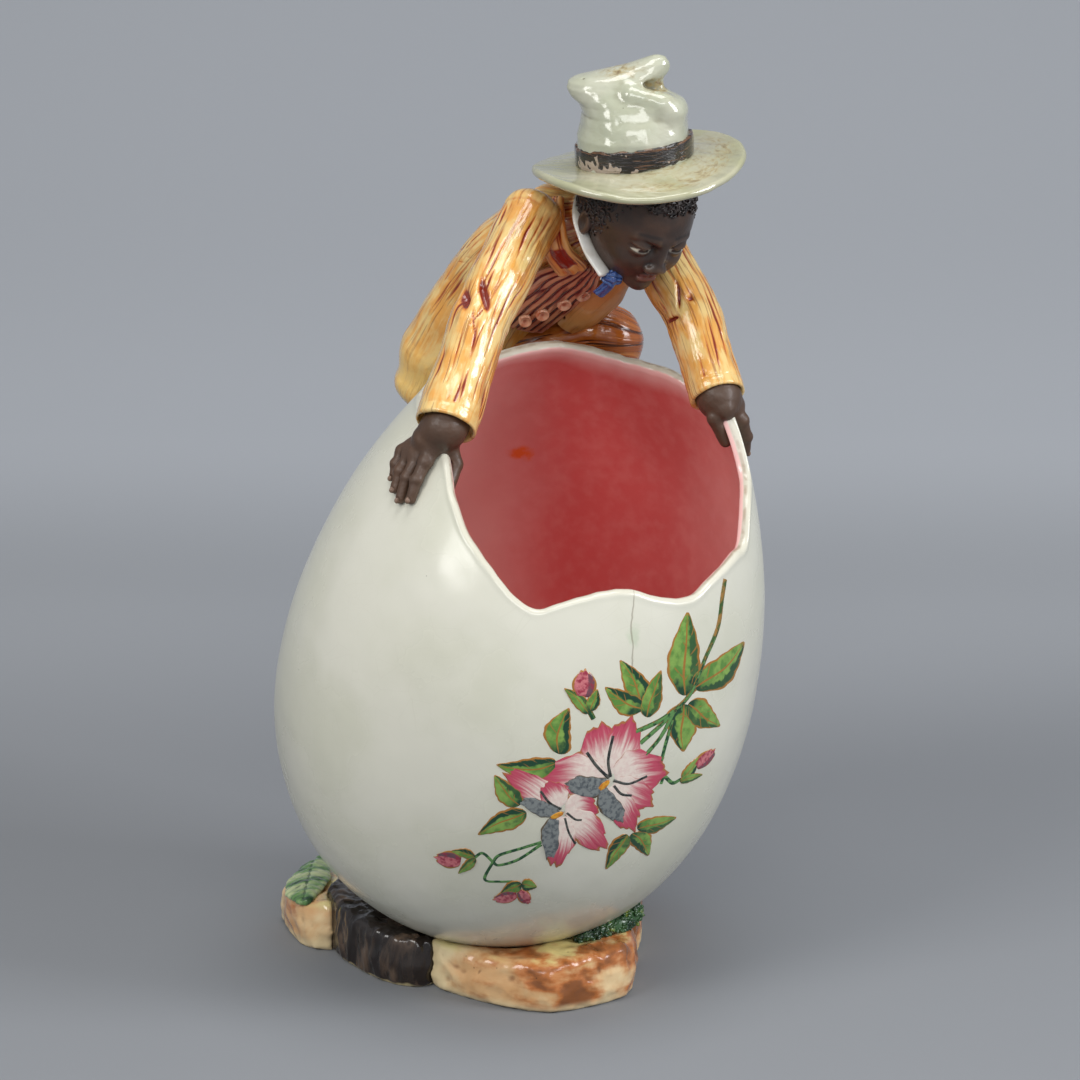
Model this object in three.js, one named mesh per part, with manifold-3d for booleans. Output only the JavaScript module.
// An egg-shaped majolica vase on a ring of rocks, with a child in a brimmed hat leaning over its
// broken rim. Each piece is one that the potter moulds or casts by itself and lutes on with slip.
// Millimetres, +Z up, X to the right, -Y to the front. The origin is on the flat foot.
import * as THREE from 'three';
import { mergeVertices } from 'three/addons/utils/BufferGeometryUtils.js';
import Module from 'manifold-3d';

const wasm = await Module();
wasm.setup();

// Joints between pieces
const clearance = 0.3;

// The egg
const eggHalfLength = 132;
const eggHalfWidth = 91;
const eggTaper = 0.19;
const eggWall = 5;
const eggLean = 16.2; // degrees, to the right
const eggX = 27.5;
const eggY = -16;
const eggSeatHeight = 9.7; // lowest point above the table
// The broken rim: degrees round the egg from the front, and how far it lies below the egg's tip
const rimDrops = [
  [0, 103.5], [5, 99], [10, 95.5], [18, 92.5], [26, 93], [31, 93.5], [36, 92.8], [40, 91], [45, 86],
  [52, 81], [58, 77.5], [65, 73.5], [69, 66], [73, 60.5], [78, 56.5], [84, 52.5], [88, 44], [92, 35.5],
  [97, 33], [107, 37], [125, 35], [142, 32], [161, 33], [180, 34], [200, 34.5], [212, 38], [225, 44],
  [240, 52], [258, 56], [275, 60], [292, 63], [308, 66], [312, 69.5], [317, 74.5], [323, 81.5],
  [330, 89], [335, 93.5], [341, 98.5], [347, 103.5], [352, 106.5], [356, 107],
];
const eggColumns = 64;
const eggRows = 9;

// The figure, placed from the rim behind the egg
const perchAzimuth = 208;
const torsoLine = [
  { at: [-42, 36, -25], wide: 19, deep: 15 },
  { at: [-34, 33, -10], wide: 24, deep: 19 },
  { at: [-17, 22, 17], wide: 25, deep: 17 },
  { at: [0, 7, 37], wide: 27, deep: 18 },
  { at: [15, -6, 49], wide: 27, deep: 17 },
  { at: [24, -15, 54], wide: 15, deep: 12 },
];
const shoulderLine = [0.756, 0.563, -0.334]; // from the right shoulder to the left
const rightShoulder = [-4, -27, 57];
const leftShoulder = [44, 0, 42];
const rightSleeveRadii = { shoulder: 13.5, elbow: 11.2, cuff: 11.6 };
const leftSleeveRadii = { shoulder: 12, elbow: 11.4, cuff: 10.8 };
const buttonRadius = 2.7;
const wristRadius = 7.5;
const fingerRadius = 2.4;
const thumbRadius = 3;

// The head and the hat
const headCentre = [37, -31, 57];
const headTurn = 30; // degrees to the right of the front
const headBow = 26; // degrees down
const headRoll = -6; // degrees, less than zero leans the crown to the figure's left
const headHalfWidth = 21;
const headHalfDepth = 24;
const headHalfHeight = 28;
const neckRadius = 10;
const hatCentre = [38, -30, 76];
const hatTiltForward = 8;
const hatTiltLeft = 2.6;
const brimRadius = 41;
const brimThickness = 3.2;
const crownRadius = 21.2;
const crownHeight = 29;
const hatBandHeight = 8;
const hatBandThickness = 1.2;

// The legs
const thighRadius = 15;
const kneeRadius = 15;
const shinRadius = 10.5;
const ankleRadius = 8;

// The base
const rockHeight = 20;
const rockBevel = 3.5;
const coreRadius = 52;
const coreHeight = 15;

const vec = (x, y, z) => new THREE.Vector3(x, y, z);
const turn = (degrees) => THREE.MathUtils.degToRad(degrees);
const up = vec(0, 0, 1);

const glaze = (color, roughness = 0.25) =>
  new THREE.MeshStandardMaterial({ color, roughness, metalness: 0 });
const shellGlaze = glaze(0xdcdccd, 0.3);
const jacketGlaze = glaze(0xd99a45, 0.2);
const waistcoatGlaze = glaze(0x8f3f35, 0.25);
const skinGlaze = glaze(0x3d2f2a, 0.5);
const hairGlaze = glaze(0x1f1a18, 0.5);
const hatGlaze = glaze(0xd3d8c3, 0.2);
const bandGlaze = glaze(0x32241f, 0.25);
const collarGlaze = glaze(0xe6e4dc, 0.25);
const scarfGlaze = glaze(0x2d4f96, 0.3);
const trouserGlaze = glaze(0xa87434, 0.25);
const shoeGlaze = glaze(0x33241e, 0.25);
const rockGlaze = glaze(0xc98a5a, 0.3);
const logGlaze = glaze(0x3a302c, 0.35);
const leafGlaze = glaze(0x6f9a4c, 0.25);
const mossGlaze = glaze(0x3f6a38, 0.35);

// Solids and surfaces

function solidOf(geometry) {
  const bare = geometry.clone();
  bare.deleteAttribute('normal');
  bare.deleteAttribute('uv');
  const merged = mergeVertices(bare, 1e-3);
  return new wasm.Manifold(new wasm.Mesh({
    numProp: 3,
    vertProperties: merged.attributes.position.array,
    triVerts: new Uint32Array(merged.index.array),
  }));
}

function geometryOf(solid) {
  const mesh = solid.getMesh();
  const positions = new Float32Array(mesh.numVert * 3);
  for (let i = 0; i < mesh.numVert; i++) {
    positions.set(mesh.vertProperties.subarray(i * mesh.numProp, i * mesh.numProp + 3), i * 3);
  }
  const geometry = new THREE.BufferGeometry();
  geometry.setAttribute('position', new THREE.BufferAttribute(positions, 3));
  geometry.setIndex(new THREE.BufferAttribute(mesh.triVerts, 1));
  geometry.computeVertexNormals();
  return geometry;
}

// Skins a stack of rings, each a loop of the same number of points, and closes both ends.
function skin(rings) {
  const sides = rings[0].length;
  const first = rings[0].reduce((sum, p) => sum.add(p), vec(0, 0, 0)).divideScalar(sides);
  const last = rings.at(-1).reduce((sum, p) => sum.add(p), vec(0, 0, 0)).divideScalar(sides);
  const points = [...rings.flat(), first, last];
  const faces = [];
  for (let i = 0; i + 1 < rings.length; i++) {
    for (let j = 0; j < sides; j++) {
      const a = i * sides + j;
      const b = i * sides + (j + 1) % sides;
      faces.push(a, b, a + sides, b, b + sides, a + sides);
    }
  }
  const end = (rings.length - 1) * sides;
  for (let j = 0; j < sides; j++) {
    faces.push(rings.length * sides, (j + 1) % sides, j);
    faces.push(rings.length * sides + 1, end + j, end + (j + 1) % sides);
  }
  const geometry = new THREE.BufferGeometry().setFromPoints(points);
  geometry.setIndex(faces);
  return geometry;
}

// The largest solid of a cut, which drops slivers too small to fire.
const largest = (solid) =>
  solid.decompose().reduce((best, one) => (one.volume() > best.volume() ? one : best));

const cutBy = (solid, ...tools) => largest(tools.reduce((left, tool) => left.subtract(tool), solid));
const joined = (...solids) => solids.reduce((all, one) => all.add(one));

// A body of oval sections along a smooth line. Its wide way follows side, and its ends are domed
// unless they are flat, as a cuff is.
function limb(line, side, { grow = 0, sides = 12, steps = 2, flatEnd = false } = {}) {
  const curve = new THREE.CatmullRomCurve3(line.map((s) => vec(...s.at)), false, 'centripetal');
  const spans = line.length - 1;
  const rings = [];
  const sectionAt = (t, shrink, push) => {
    const i = Math.min(spans - 1, Math.floor(t * spans));
    const f = THREE.MathUtils.smoothstep(t * spans - i, 0, 1);
    const wide = THREE.MathUtils.lerp(line[i].wide, line[i + 1].wide, f) + grow;
    const deep = THREE.MathUtils.lerp(line[i].deep, line[i + 1].deep, f) + grow;
    const along = curve.getTangent(t);
    const across = side.clone().addScaledVector(along, -side.dot(along)).normalize();
    const out = along.clone().cross(across);
    const centre = curve.getPoint(t).addScaledVector(along, push * Math.min(wide, deep));
    return Array.from({ length: sides }, (_, j) => {
      const angle = (j / sides) * 2 * Math.PI;
      return centre.clone()
        .addScaledVector(across, Math.cos(angle) * wide * shrink)
        .addScaledVector(out, Math.sin(angle) * deep * shrink);
    });
  };
  const dome = [0.25, 0.6, 0.86];
  for (const shrink of dome) rings.push(sectionAt(0, shrink, -Math.sqrt(1 - shrink * shrink) * 0.75));
  for (let i = 0; i <= spans * steps; i++) rings.push(sectionAt(i / (spans * steps), 1, 0));
  if (flatEnd) {
    rings.push(sectionAt(1, 0.9, 0.12 + grow / 6));
  } else {
    for (const shrink of dome.toReversed()) {
      rings.push(sectionAt(1, shrink, Math.sqrt(1 - shrink * shrink) * 0.75));
    }
  }
  return solidOf(skin(rings));
}

// A ball squashed to three half sizes, turned and placed by a frame.
function ball(frame, centre, halves, { grow = 0, sides = 16, rows = 10 } = {}) {
  const geometry = new THREE.SphereGeometry(1, sides, rows);
  geometry.scale(halves[0] + grow, halves[1] + grow, halves[2] + grow);
  geometry.translate(...centre);
  geometry.applyMatrix4(frame);
  return solidOf(geometry);
}

// The egg's own frame: its axis, and the ways across it

const eggAxis = vec(Math.sin(turn(eggLean)), 0, Math.cos(turn(eggLean)));
const eggFront = vec(0, -1, 0);
const eggRight = vec(Math.cos(turn(eggLean)), 0, -Math.sin(turn(eggLean)));

function eggRadius(along, thicker = 0) {
  const share = THREE.MathUtils.clamp(along / (eggHalfLength + thicker), -1, 1);
  return (eggHalfWidth + thicker) * Math.sqrt(1 - share * share) * (1 - eggTaper * share);
}

function lowestPointBelowCentre() {
  let lowest = 0;
  for (let i = 0; i <= 400; i++) {
    const along = -eggHalfLength * Math.cos((i / 400) * Math.PI);
    lowest = Math.min(lowest, eggAxis.z * along - Math.abs(eggRight.z) * eggRadius(along));
  }
  return -lowest;
}

const eggCentre = vec(eggX, eggY, eggSeatHeight + lowestPointBelowCentre());

// A point on the egg: degrees round it from the front, and the distance along its axis.
function onEgg(azimuth, along, thicker = 0) {
  const radius = eggRadius(along, thicker);
  return eggCentre.clone()
    .addScaledVector(eggAxis, along)
    .addScaledVector(eggFront, radius * Math.cos(turn(azimuth)))
    .addScaledVector(eggRight, radius * Math.sin(turn(azimuth)));
}

function eggOutward(azimuth) {
  return eggFront.clone().multiplyScalar(Math.cos(turn(azimuth)))
    .addScaledVector(eggRight, Math.sin(turn(azimuth)));
}

// The rim's place along the axis, smooth between its measured points.
function rimAlong(azimuth) {
  const count = rimDrops.length;
  const wrapped = ((azimuth % 360) + 360) % 360;
  let i = count - 1;
  while (i > 0 && rimDrops[i][0] > wrapped) i--;
  const knot = (n) => {
    const [angle, drop] = rimDrops[(n + count) % count];
    return [angle + 360 * Math.floor(n / count), drop];
  };
  const [before, start, end, after] = [knot(i - 1), knot(i), knot(i + 1), knot(i + 2)];
  const span = end[0] - start[0];
  const f = (wrapped - start[0]) / span;
  const leave = ((end[1] - before[1]) / (end[0] - before[0])) * span;
  const arrive = ((after[1] - start[1]) / (after[0] - start[0])) * span;
  const drop = start[1] * (2 * f ** 3 - 3 * f ** 2 + 1) + leave * (f ** 3 - 2 * f ** 2 + f)
    + end[1] * (3 * f ** 2 - 2 * f ** 3) + arrive * (f ** 3 - f ** 2);
  return eggHalfLength - drop;
}

// The shell: up the outside to the broken rim, over a rounded lip, and down the inside.
function eggShell(grow = 0) {
  const paths = Array.from({ length: eggColumns }, (_, j) => {
    const azimuth = (j / eggColumns) * 360;
    const rim = rimAlong(azimuth);
    const path = [];
    const climb = (thicker, i) => {
      const half = eggHalfLength + thicker;
      const last = Math.acos(THREE.MathUtils.clamp(-rim / half, -1, 1));
      return -half * Math.cos((last * i) / eggRows);
    };
    for (let i = 1; i <= eggRows; i++) path.push(onEgg(azimuth, climb(grow, i), grow));
    const outside = path.at(-1);
    const inside = onEgg(azimuth, rim, -eggWall - grow);
    const middle = outside.clone().lerp(inside, 0.5);
    const half = outside.clone().sub(middle);
    for (const angle of [45, 90, 135]) {
      path.push(middle.clone().addScaledVector(half, Math.cos(turn(angle)))
        .addScaledVector(eggAxis, Math.sin(turn(angle)) * (eggWall / 2 + grow)));
    }
    for (let i = eggRows; i >= 1; i--) {
      path.push(onEgg(azimuth, climb(-eggWall - grow, i), -eggWall - grow));
    }
    return path;
  });
  return solidOf(skin(paths[0].map((_, row) => paths.map((path) => path[row]))));
}

// The whole egg as a solid, for the rocks that it beds into.
function eggBody(grow) {
  const rings = [];
  const rows = 24;
  for (let i = 1; i < rows; i++) {
    const along = -(eggHalfLength + grow) * Math.cos((i / rows) * Math.PI);
    rings.push(Array.from({ length: eggColumns }, (_, j) =>
      onEgg((j / eggColumns) * 360, along, grow)));
  }
  return solidOf(skin(rings));
}

const shell = eggShell();
const shellRoom = eggShell(clearance);
const eggRoom = eggBody(clearance);

// The base: a core under the egg and a ring of rocks

// A rock stands on a plan outline, swells a little above its foot and has a rounded top edge.
function rock(outline, height, { grow = 0, lean = [0, 0], bevel = rockBevel } = {}) {
  const middle = outline.reduce((sum, [x, y]) => sum.add(vec(x, y, 0)), vec(0, 0, 0))
    .divideScalar(outline.length);
  const round = new THREE.CatmullRomCurve3(outline.map(([x, y]) => vec(x, y, 0)), true, 'centripetal');
  const loop = round.getPoints(outline.length * 2).slice(0, -1);
  const level = (inset, z) => loop.map((p) => {
    const away = p.clone().sub(middle);
    const reach = away.length() - inset + grow;
    const rise = z > bevel ? (lean[0] * away.x + lean[1] * away.y) * (z / height) : 0;
    return middle.clone().addScaledVector(away.normalize(), reach).setZ(z + rise);
  });
  const rings = [
    level(1, 0),
    level(0, 1.5),
    level(-1, height * 0.45),
    level(0, height - bevel),
    level(bevel * 0.35, height - bevel * 0.3),
    level(bevel, height + grow),
  ];
  return solidOf(skin(rings));
}

// Plan outlines, anticlockwise seen from above, and each rock's height. They are drawn for an egg
// of one half width, and spread with the egg.
const planHalfWidth = 91;
const spread = eggHalfWidth / planHalfWidth;
const rocks = {
  log_left: {
    outline: [[-55.5, 1], [-47, -23], [-37, -38], [-26, -48], [-16, -50], [-10, -45], [-4, -30],
      [-22, -14], [-36, 8], [-50, 16]],
    height: rockHeight + 1.5,
    lean: [-0.05, 0.05],
  },
  rock_front: {
    outline: [[-13, -46], [-3, -58], [16, -71], [34, -77], [51, -70], [63, -60], [67, -42], [62, -24],
      [36, -30], [8, -34]],
    height: rockHeight,
    lean: [0.02, 0],
  },
  rock_right: {
    outline: [[56, -21], [68, -18], [70, 4], [69, 26], [60, 44], [44, 34], [42, 4]],
    height: rockHeight + 8,
    lean: [0.1, 0],
  },
  rock_back: {
    outline: [[59, 45], [44, 62], [20, 71], [-8, 72], [-14, 48], [14, 40], [42, 35]],
    height: rockHeight + 2,
    lean: [0, 0],
  },
  rock_back_left: {
    outline: [[-9, 73], [-30, 72], [-46, 62], [-57, 51], [-51, 34], [-36, 36], [-15, 48]],
    height: rockHeight + 1,
    lean: [0, 0.04],
  },
  rock_left: {
    outline: [[-61, 47], [-71, 39], [-75, 25], [-67, -3], [-60, -9], [-50, -10], [-40, 14], [-50, 34]],
    height: rockHeight - 1,
    lean: [0.16, 0],
  },
};

const coreOutline = Array.from({ length: 12 }, (_, i) => {
  const angle = (i / 12) * 2 * Math.PI;
  return [coreRadius * spread * Math.cos(angle), coreRadius * spread * Math.sin(angle)];
});

const baseSolids = {};
let baseSoFar = [];
for (const [name, { outline: plan, height, lean }] of Object.entries(rocks)) {
  const outline = plan.map(([x, y]) => [x * spread, y * spread]);
  const cut = cutBy(rock(outline, height, { lean }), eggRoom, ...baseSoFar);
  baseSolids[name] = cut;
  baseSoFar.push(rock(outline, height, { lean, grow: clearance }));
}
baseSolids.base_core = cutBy(rock(coreOutline, coreHeight, { bevel: 1 }), eggRoom, ...baseSoFar);

// A bent leaf on the left rock, and moss between the front and the right rock
const leafLine = [
  { at: [-64, -5, -1], wide: 3, deep: 1.8 },
  { at: [-65, 5, -0.5], wide: 8, deep: 2.4 },
  { at: [-64, 17, 0], wide: 9.5, deep: 2.4 },
  { at: [-62, 28, 1], wide: 7, deep: 2.4 },
  { at: [-60, 36, 2.5], wide: 3, deep: 1.8 },
].map(({ at: [x, y, z], ...size }) => ({ at: [x * spread, y * spread, z + rockHeight], ...size }));
const leafSide = vec(1, 0, 0.16).normalize();

// A point beside the egg at a height: degrees round it on the plan, from the right to the back.
function besideEgg(direction, height, away) {
  let reach = 0;
  const at = (r) => vec(eggCentre.x + r * Math.cos(turn(direction)),
    eggCentre.y + r * Math.sin(turn(direction)), height);
  const inside = (point) => {
    const offset = point.clone().sub(eggCentre);
    const along = offset.dot(eggAxis);
    return offset.addScaledVector(eggAxis, -along).length() < eggRadius(along);
  };
  while (inside(at(reach))) reach += 0.25;
  return at(reach + away).toArray();
}
const mossLine = [
  { at: besideEgg(-62, rockHeight + 1.5, 2), wide: 4, deep: 4 },
  { at: besideEgg(-44, rockHeight + 2.5, 3), wide: 5, deep: 6 },
  { at: besideEgg(-24, rockHeight + 4, 3), wide: 5, deep: 6 },
  { at: besideEgg(-12, rockHeight + 5, 1), wide: 4, deep: 5 },
];

// The figure

const perch = onEgg(perchAzimuth, rimAlong(perchAzimuth));
const placed = ([x, y, z]) => [perch.x + x, perch.y + y, perch.z + z];
const placedLine = (line) => line.map((s) => ({ ...s, at: placed(s.at) }));
const acrossShoulders = vec(...shoulderLine).normalize();

const torso = (grow = 0) => limb(placedLine(torsoLine), acrossShoulders, { grow, sides: 16 });

// Where each hand grips the rim, in the egg's own terms
const gripRight = 304;
const gripLeft = 92;
const rightGrip = onEgg(gripRight, rimAlong(gripRight), -eggWall / 2);
const leftGrip = onEgg(gripLeft, rimAlong(gripLeft), -eggWall / 2);
const rightWrist = rightGrip.clone().add(vec(3, -4, 8));
const leftWrist = leftGrip.clone().add(vec(-4.5, 7, 9.5));

function sleeve(shoulder, bend, wrist, radii, side, grow = 0) {
  const start = vec(...placed(shoulder));
  const elbow = start.clone().lerp(wrist, 0.5).add(bend);
  const station = (from, to, share, radius) => (
    { at: from.clone().lerp(to, share).toArray(), wide: radius, deep: radius });
  const line = [
    station(start, elbow, 0, radii.shoulder),
    station(start, elbow, 0.5, (radii.shoulder + radii.elbow) / 2),
    station(elbow, wrist, 0, radii.elbow),
    station(elbow, wrist, 0.5, (radii.elbow + radii.cuff) / 2 - 0.6),
    station(elbow, wrist, 1, radii.cuff),
  ];
  return limb(line, side, { grow, flatEnd: true });
}

const rightSleeve = (grow = 0) =>
  sleeve(rightShoulder, vec(-2.5, -3, 1), rightWrist, rightSleeveRadii, vec(0.7, -0.6, 0).normalize(), grow);
const leftSleeve = (grow = 0) =>
  sleeve(leftShoulder, vec(3.5, 2, 0), leftWrist, leftSleeveRadii, vec(0.6, 0.7, 0).normalize(), grow);

// A hand over the rim. Digits are given by [degrees round the egg, distance above the gripped rim].
function hand(wrist, grip, web, fingers, thumb, side) {
  const rim = rimAlong(grip);
  const onRim = ([azimuth, rise], off) => onEgg(azimuth, rim + rise, off);
  const outside = fingers.map(([root]) => onRim(root, fingerRadius));
  const knuckles = outside.reduce((sum, p) => sum.add(p), vec(0, 0, 0)).divideScalar(outside.length);
  const saddle = onRim([web[0], web[1] + 3], -eggWall / 2);
  const palm = limb([
    { at: wrist.clone().addScaledVector(up, 3).toArray(), wide: wristRadius, deep: wristRadius - 1 },
    { at: wrist.clone().lerp(knuckles, 0.4).toArray(), wide: wristRadius + 1, deep: wristRadius - 1 },
    { at: wrist.clone().lerp(knuckles, 0.8).toArray(), wide: wristRadius + 2, deep: wristRadius - 2 },
    { at: knuckles.toArray(), wide: wristRadius + 2, deep: fingerRadius + 0.6 },
  ], side, { sides: 10, steps: 1 });
  const digit = (line, radius) => limb(line.map((at, i) => (
    { at: at.toArray(), wide: radius - i * 0.15, deep: radius - i * 0.15 })), side, { sides: 6, steps: 1 });
  const digits = fingers.map(([root, tip]) => {
    const middle = [(root[0] + tip[0]) / 2, (root[1] + tip[1]) / 2];
    return digit([
      onRim(root, fingerRadius + 0.4),
      onRim(middle, fingerRadius + 0.4),
      onRim(tip, fingerRadius - 0.6),
    ], fingerRadius);
  });
  const thumbDigit = digit([
    wrist.clone().lerp(saddle, 0.3),
    onRim(thumb[0], -eggWall - thumbRadius),
    onRim(thumb[1], -eggWall - thumbRadius + 1),
  ], thumbRadius);
  const webbing = limb([
    { at: wrist.toArray(), wide: wristRadius, deep: thumbRadius + 1 },
    { at: saddle.toArray(), wide: wristRadius, deep: thumbRadius + 1 },
  ], eggOutward(web[0]), { sides: 8 });
  const bridge = limb([
    { at: saddle.toArray(), wide: wristRadius, deep: thumbRadius + 1 },
    { at: knuckles.toArray(), wide: wristRadius, deep: fingerRadius + 1 },
  ], side, { sides: 8 });
  return joined(palm, webbing, bridge, ...digits, thumbDigit);
}

// The head's frame: x to the figure's right, y forward, z to the crown
const forward = vec(
  Math.sin(turn(headTurn)) * Math.cos(turn(headBow)),
  -Math.cos(turn(headTurn)) * Math.cos(turn(headBow)),
  -Math.sin(turn(headBow)),
);
const toCrown = up.clone().addScaledVector(forward, -up.dot(forward)).normalize()
  .applyAxisAngle(forward, turn(headRoll));
const toRight = forward.clone().cross(toCrown);
const headFrame = new THREE.Matrix4().makeBasis(toRight, forward, toCrown);
headFrame.setPosition(...placed(headCentre));

const neckFoot = placed([24, -16, 50]);
function head(grow = 0) {
  const more = { grow };
  return joined(
    ball(headFrame, [0, 0, 4], [headHalfWidth, headHalfDepth, headHalfHeight - 4], more),
    ball(headFrame, [0, 5, -10], [headHalfWidth * 0.76, headHalfDepth * 0.66, headHalfHeight * 0.62], more),
    ball(headFrame, [0, 22, -6], [3.4, 4, 4.6], { grow, sides: 8, rows: 6 }),
    ball(headFrame, [headHalfWidth, -3, -4], [2, 3.4, 5.4], { grow, sides: 8, rows: 6 }),
    ball(headFrame, [-headHalfWidth, -3, -4], [2, 3.4, 5.4], { grow, sides: 8, rows: 6 }),
    limb([
      { at: neckFoot, wide: neckRadius, deep: neckRadius },
      { at: vec(0, -4, -8).applyMatrix4(headFrame).toArray(), wide: neckRadius, deep: neckRadius },
    ], vec(1, 0, 0), { grow }),
  );
}

const hair = (grow = 0) =>
  ball(headFrame, [0, -3.5, 6], [headHalfWidth + 1.6, headHalfDepth - 0.5, headHalfHeight - 6], { grow });

// The hat's frame tilts forward and to the left
const hatFrame = new THREE.Matrix4()
  .makeRotationFromEuler(new THREE.Euler(turn(hatTiltForward), -turn(hatTiltLeft), 0))
  .setPosition(...placed(hatCentre));

// The brim is a dished disc whose edge dips at the front left and lifts at the right.
function brim(grow = 0) {
  const sides = 32;
  const rows = [0.45, 0.8, 1];
  const ringAt = (share, lift) => Array.from({ length: sides }, (_, j) => {
    const angle = (j / sides) * 2 * Math.PI;
    const wave = 1.2 * Math.cos(angle - turn(200)) + 0.8 * Math.cos(2 * (angle - turn(20)));
    return vec(
      Math.cos(angle) * share * brimRadius,
      Math.sin(angle) * share * brimRadius,
      wave * share * share + lift,
    ).applyMatrix4(hatFrame);
  });
  const half = brimThickness / 2 + grow;
  const edge = 1 + (brimThickness / 2 + grow) / brimRadius;
  return solidOf(skin([
    ...rows.map((share) => ringAt(share, -half)),
    ringAt(edge, 0),
    ...rows.toReversed().map((share) => ringAt(share, half)),
  ]));
}

// The crumpled crown leans, and a ridge runs up to a nipped tip at the right.
const crownBase = brimThickness / 2 + clearance;
function crown(grow = 0) {
  const inHat = (x, y, z) => vec(x, y, z).applyMatrix4(hatFrame).toArray();
  const side = vec(1, 0, 0).transformDirection(hatFrame);
  const r = crownRadius;
  const h = crownHeight;
  const stack = limb([
    { at: inHat(-1, 0, crownBase + 1), wide: r, deep: r },
    { at: inHat(-0.5, 0, crownBase + 8), wide: r - 0.2, deep: r - 0.4 },
    { at: inHat(0, 0, h - 13), wide: r - 0.6, deep: r - 2 },
    { at: inHat(1, 0, h - 8), wide: r - 2, deep: r - 4 },
    { at: inHat(2, 0, h - 4.5), wide: r - 6, deep: r - 9 },
  ], side, { grow, sides: 18 });
  const ridge = limb([
    { at: inHat(-18, 0, h - 2), wide: 8, deep: 7.5 },
    { at: inHat(-11, 0, h + 0.5), wide: 12, deep: 9 },
    { at: inHat(-3, 0, h + 3.5), wide: 11, deep: 8 },
    { at: inHat(5, 0, h + 8), wide: 7, deep: 5 },
    { at: inHat(11, 0, h + 12), wide: 4, deep: 3.2 },
  ], vec(0, 1, 0).transformDirection(hatFrame), { grow });
  return joined(stack, ridge);
}

// The band lies round the foot of the crown.
function hatBand(grow = 0) {
  const profile = [
    [0, 0], [crownRadius + hatBandThickness + grow, 0],
    [crownRadius + hatBandThickness + grow, hatBandHeight + grow], [0, hatBandHeight + grow],
  ].map(([x, y]) => new THREE.Vector2(x, y));
  const geometry = new THREE.LatheGeometry(profile, 28);
  geometry.rotateX(Math.PI / 2);
  geometry.translate(-1, 0, crownBase);
  geometry.applyMatrix4(hatFrame);
  return solidOf(geometry);
}

// The clothes over the chest. Points on the torso are given along its line and round it.
const torsoCurve = new THREE.CatmullRomCurve3(placedLine(torsoLine).map((s) => vec(...s.at)), false, 'centripetal');
function onTorso(share, angle, off = 0) {
  const spans = torsoLine.length - 1;
  const i = Math.min(spans - 1, Math.floor(share * spans));
  const f = THREE.MathUtils.smoothstep(share * spans - i, 0, 1);
  const wide = THREE.MathUtils.lerp(torsoLine[i].wide, torsoLine[i + 1].wide, f) + off;
  const deep = THREE.MathUtils.lerp(torsoLine[i].deep, torsoLine[i + 1].deep, f) + off;
  const along = torsoCurve.getTangent(share);
  const across = acrossShoulders.clone().addScaledVector(along, -acrossShoulders.dot(along)).normalize();
  const out = along.clone().cross(across);
  return torsoCurve.getPoint(share)
    .addScaledVector(across, Math.cos(turn(angle)) * wide)
    .addScaledVector(out, Math.sin(turn(angle)) * deep);
}

// A panel laid on the torso: a line of [share, angle, half width, half thickness].
function panel(line, side, grow = 0, off = 0.6) {
  return limb(line.map(([share, angle, wide, deep]) => (
    { at: onTorso(share, angle, off).toArray(), wide, deep })), side, { grow });
}

const frontAngle = 270;
const waistcoat = (grow = 0) => panel([
  [0.42, frontAngle + 8, 14, 2.6], [0.54, frontAngle + 8, 16, 3.4], [0.68, frontAngle + 6, 15, 3.4],
  [0.84, frontAngle + 4, 9, 2.6],
], acrossShoulders, grow);
const rightLapel = (grow = 0) => panel([
  [0.5, frontAngle - 62, 5, 2.2], [0.66, frontAngle - 50, 7, 2.6], [0.82, frontAngle - 46, 6, 2.4],
  [0.93, frontAngle - 60, 4, 2],
], acrossShoulders, grow, 1.6);
const leftFront = (grow = 0) => panel([
  [0.4, frontAngle + 50, 9, 3], [0.56, frontAngle + 50, 10, 3.4], [0.72, frontAngle + 48, 9, 3],
  [0.88, frontAngle + 46, 5, 2.4],
], acrossShoulders, grow, 1.6);

// Buttons sit on the waistcoat down its front edge.
const buttonPlaces = [[0.8, 292], [0.7, 292], [0.59, 291], [0.49, 290]];
const button = (place) =>
  ball(new THREE.Matrix4(), onTorso(...place, 4.6).toArray(), [1, 1, 1].map((one) => one * buttonRadius),
    { sides: 10, rows: 6 });

// The collar is one band from front to front round the back of the neck.
const collarLine = [
  [25, -42, 37], [18.5, -39, 47], [15.5, -34, 57], [18, -22, 64], [30, -8, 64], [44, -16, 53],
  [46, -28, 42], [36, -40, 36],
];
const collar = (grow = 0) => limb(collarLine.map((at) => (
  { at: placed(at), wide: 3.4, deep: 1.8 })), acrossShoulders, { grow, sides: 8 });

const scarf = (grow = 0) => joined(
  ball(new THREE.Matrix4(), placed([28, -40, 35]), [4.5, 3.6, 3.6], { grow, sides: 10, rows: 6 }),
  limb([
    { at: placed([28, -39, 34]), wide: 3, deep: 2 },
    { at: placed([22, -36, 28]), wide: 3.5, deep: 1.6 },
  ], vec(1, 0.4, 0), { grow, sides: 8 }),
);

// The legs: the left knee is drawn up behind the rim, the right one hangs down the shell
const leftHip = [-22, 34, -12];
const leftKnee = [30, 22, 0];
const leftAnkle = onEgg(176, eggHalfLength * 0.47, shinRadius + 3);
const rightHip = [-38, 36, -28];
const rightKnee = onEgg(206, eggHalfLength * 0.18, kneeRadius - 1);
const rightAnkle = onEgg(202, -eggHalfLength * 0.12, ankleRadius + 2);

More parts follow.
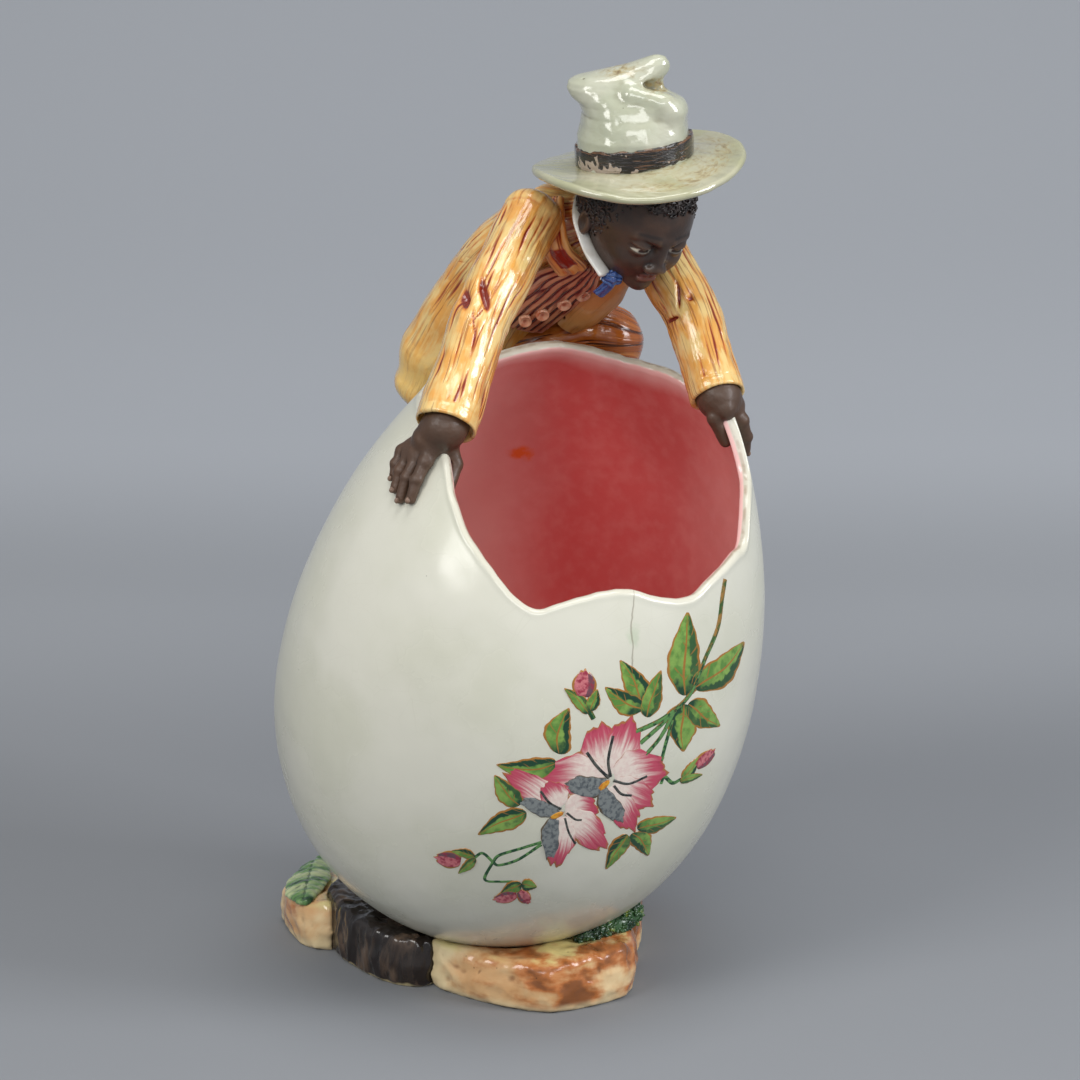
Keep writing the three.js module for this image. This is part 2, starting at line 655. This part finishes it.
const leftLeg = (grow = 0) => limb([
  { at: placed(leftHip), wide: thighRadius, deep: thighRadius },
  { at: placed([6, 29, -4]), wide: thighRadius - 1, deep: thighRadius - 1 },
  { at: placed(leftKnee), wide: kneeRadius - 1, deep: kneeRadius },
  { at: onEgg(178, eggHalfLength * 0.59, shinRadius + 5).toArray(), wide: shinRadius, deep: shinRadius },
  { at: leftAnkle.toArray(), wide: ankleRadius, deep: ankleRadius },
], up, { grow });
const rightLeg = (grow = 0) => limb([
  { at: placed(rightHip), wide: thighRadius - 2, deep: thighRadius - 2 },
  { at: rightKnee.toArray(), wide: kneeRadius - 2.5, deep: kneeRadius - 2.5 },
  { at: rightKnee.clone().lerp(rightAnkle, 0.55).toArray(), wide: shinRadius, deep: shinRadius },
  { at: rightAnkle.toArray(), wide: ankleRadius, deep: ankleRadius },
], vec(1, 0, 0), { grow });

function shoe(ankle, azimuth, along, grow = 0) {
  const heel = ankle.clone().addScaledVector(eggOutward(azimuth), 2);
  const toe = onEgg(azimuth, along, 5);
  return limb([
    { at: heel.toArray(), wide: 6.5, deep: 6.5 },
    { at: heel.clone().lerp(toe, 0.5).toArray(), wide: 7, deep: 6 },
    { at: toe.toArray(), wide: 6.5, deep: 4.6 },
  ], eggRight, { grow, sides: 10 });
}

const leftShoe = (grow = 0) =>
  shoe(leftAnkle.clone().addScaledVector(up, -8), 178, eggHalfLength * 0.29, grow);
const rightShoe = (grow = 0) =>
  shoe(rightAnkle.clone().addScaledVector(up, -8), 200, -eggHalfLength * 0.3, grow);

// The assembly

const vase = new THREE.Group();
const figure = new THREE.Group();
const base = new THREE.Group();
vase.add(figure, base);

function piece(group, name, solid, material) {
  const mesh = new THREE.Mesh(geometryOf(solid), material);
  mesh.name = name;
  group.add(mesh);
}

piece(vase, 'egg_shell', shell, shellGlaze);

const rockFinish = { log_left: logGlaze };
for (const [name, solid] of Object.entries(baseSolids)) {
  piece(base, name, solid, rockFinish[name] ?? rockGlaze);
}
piece(base, 'leaf_left', cutBy(limb(leafLine, leafSide), eggRoom, ...baseSoFar), leafGlaze);
piece(base, 'moss_right', cutBy(limb(mossLine, up), eggRoom, ...baseSoFar), mossGlaze);

const more = clearance;
piece(figure, 'jacket_body', cutBy(torso(), shellRoom), jacketGlaze);
piece(figure, 'sleeve_right', cutBy(rightSleeve(), torso(more), shellRoom), jacketGlaze);
piece(figure, 'sleeve_left', cutBy(leftSleeve(), torso(more), shellRoom), jacketGlaze);
const sleeves = [rightSleeve(more), leftSleeve(more)];

piece(figure, 'head', cutBy(head(), torso(more), brim(more), hatBand(more), ...sleeves), skinGlaze);
piece(figure, 'hair', cutBy(hair(), head(more), torso(more), brim(more), ...sleeves), hairGlaze);
piece(figure, 'hat_brim', brim(), hatGlaze);
piece(figure, 'hat_crown', cutBy(crown(), brim(more)), hatGlaze);
piece(figure, 'hat_band', cutBy(hatBand(), crown(more), brim(more)), bandGlaze);

piece(figure, 'waistcoat', cutBy(waistcoat(), torso(more), head(more), ...sleeves, shellRoom), waistcoatGlaze);
const vest = [torso(more), waistcoat(more), head(more), ...sleeves, shellRoom];
piece(figure, 'lapel_right', cutBy(rightLapel(), ...vest), jacketGlaze);
piece(figure, 'jacket_front_left', cutBy(leftFront(), ...vest), jacketGlaze);
const worn = [...vest, rightLapel(more), leftFront(more)];
buttonPlaces.forEach((place, i) => {
  piece(figure, `button_${i + 1}`, cutBy(button(place), ...worn, scarf(more)), waistcoatGlaze);
});
piece(figure, 'collar', cutBy(collar(), ...worn, hair(more), brim(more)), collarGlaze);
piece(figure, 'neckerchief', cutBy(scarf(), ...worn, collar(more)), scarfGlaze);

piece(figure, 'leg_left', cutBy(leftLeg(), leftFront(more), waistcoat(more), torso(more), shellRoom), trouserGlaze);
piece(figure, 'leg_right', cutBy(rightLeg(), torso(more), leftLeg(more), shellRoom), trouserGlaze);
piece(figure, 'shoe_left', cutBy(leftShoe(), leftLeg(more), shellRoom), shoeGlaze);
piece(figure, 'shoe_right', cutBy(rightShoe(), rightLeg(more), shellRoom), shoeGlaze);

const rightHand = hand(rightWrist, gripRight, [308, -3], [
  [[309, -6], [311, -20]], [[305, -6], [307.5, -22]], [[301, -6.5], [303.5, -20]], [[297.5, -7.5], [300, -17]],
], [[312, -5], [316, -14]], vec(0.55, -0.75, 0.35).normalize());
const leftHand = hand(leftWrist, gripLeft, [93, 1], [
  [[98, 1], [104, -12]], [[103, 0.5], [107, -13]], [[108, 0], [110, -12]], [[113, -0.5], [113, -10]],
], [[93, 0], [94, -8]], vec(0.1, 0.95, 0.1).normalize());
piece(figure, 'hand_right', cutBy(rightHand, ...sleeves, shellRoom), skinGlaze);
piece(figure, 'hand_left', cutBy(leftHand, ...sleeves, shellRoom), skinGlaze);

export default vase;
